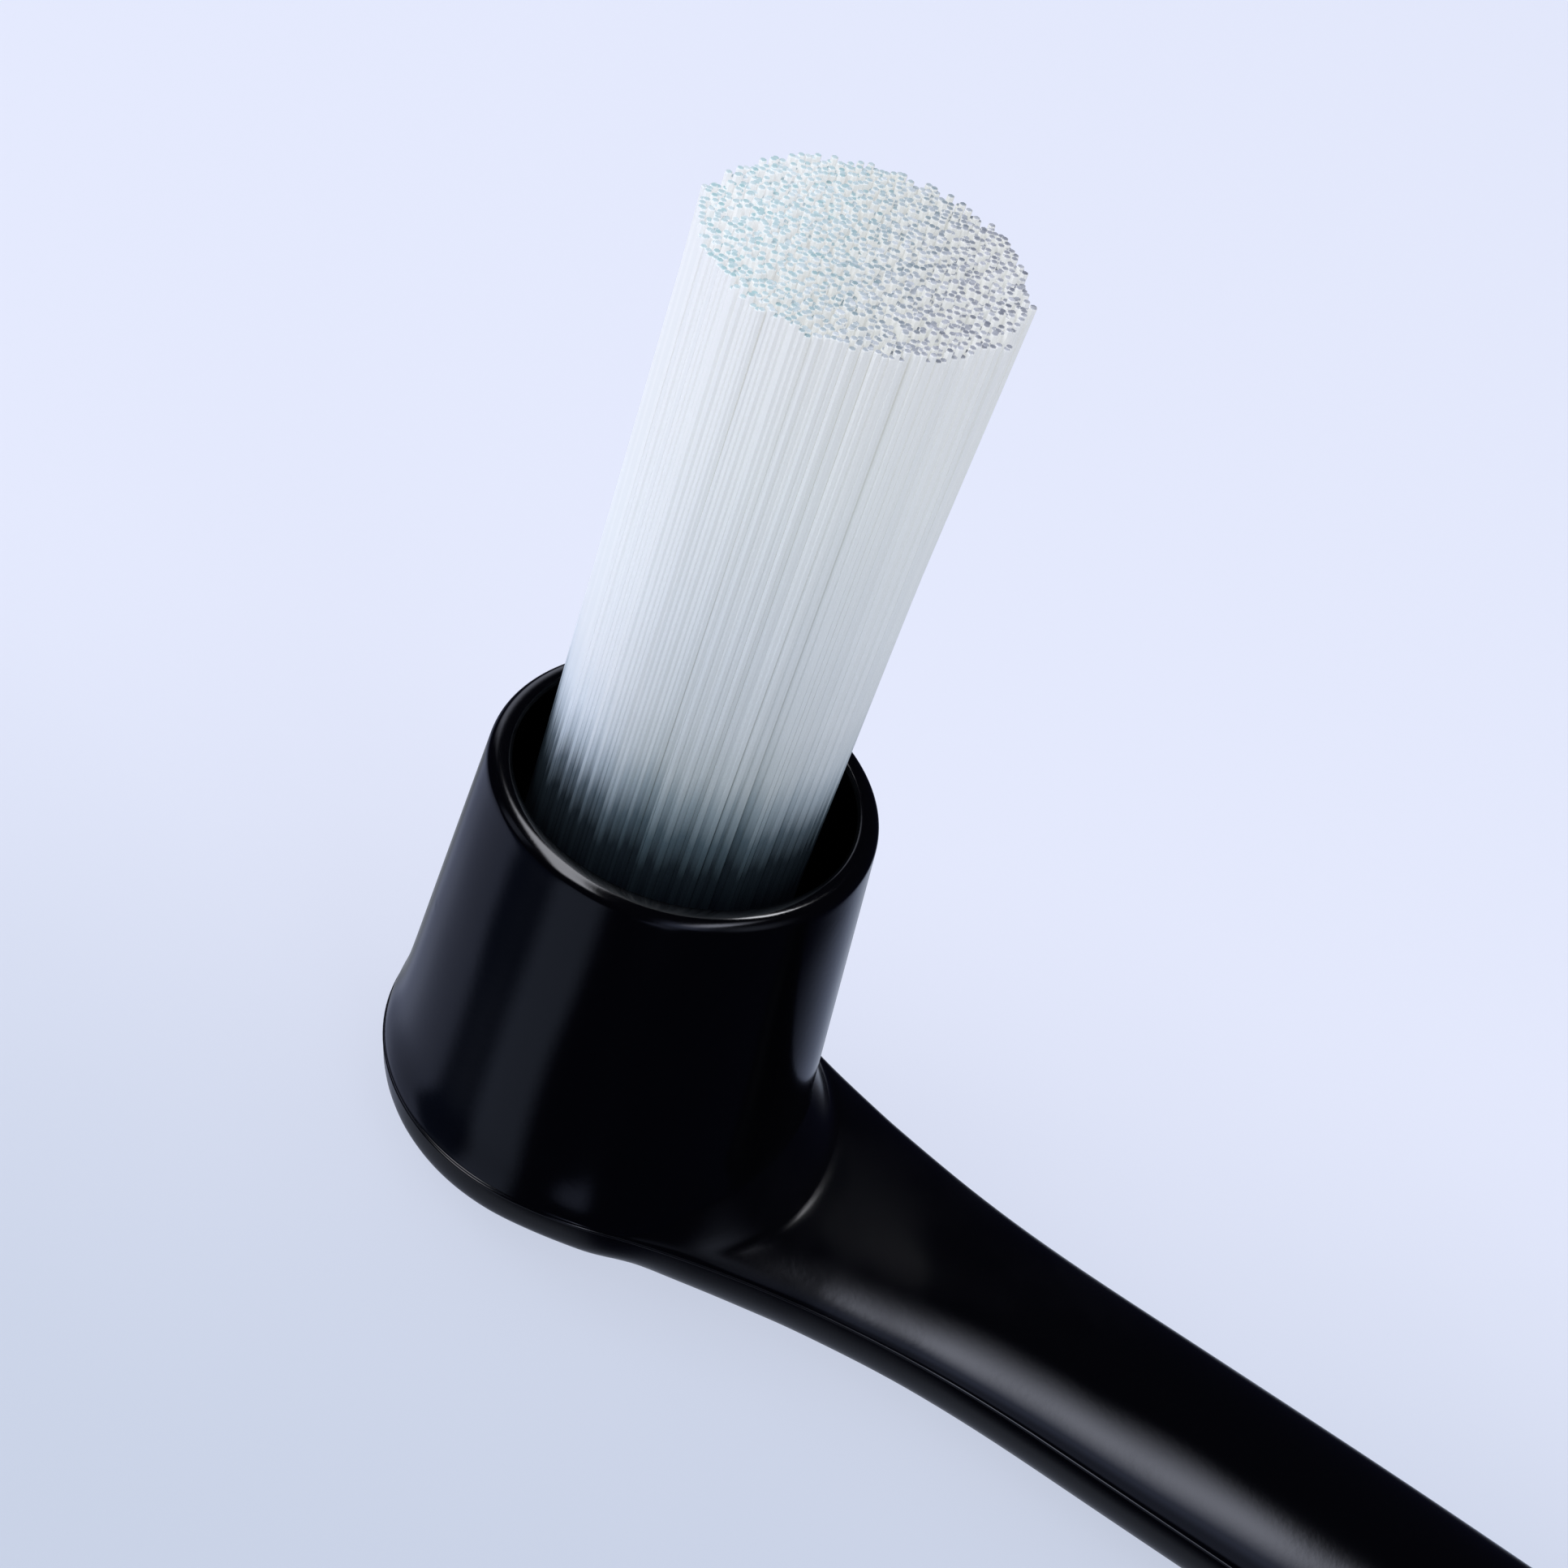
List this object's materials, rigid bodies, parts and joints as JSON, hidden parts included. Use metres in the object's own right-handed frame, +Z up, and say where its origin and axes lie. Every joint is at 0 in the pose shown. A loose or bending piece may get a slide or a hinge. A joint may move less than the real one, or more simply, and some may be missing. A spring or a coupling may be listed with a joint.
{
  "type": "coffee machine cleaning brush",
  "caption": "Angled cleaning brush for coffee machines: an oval plastic grip bends into a tapered cup that holds a round bundle of straight, stiff bristles.",
  "frame": {"origin": "centre of the bounding box in plan, on the surface that the brush lies on", "axes": "+X along the grip from the cup to the tail, +Y across the brush, +Z up, with the bristles up and leaning away from the grip; the brush is symmetric about the XZ plane"},
  "size_m": [0.1736, 0.0234, 0.0594],
  "materials": {
    "handle_plastic": "glossy black moulded plastic",
    "bristle_nylon": "translucent whitish nylon filament",
    "plug_resin": "set resin",
    "set_glue": "set glue"
  },
  "bodies": {
    "root": {"handle": "handle_plastic", "bristle_bundle": "bristle_nylon", "root_plug": "plug_resin", "adhesive_bed": "set_glue"}
  },
  "joints": []
}
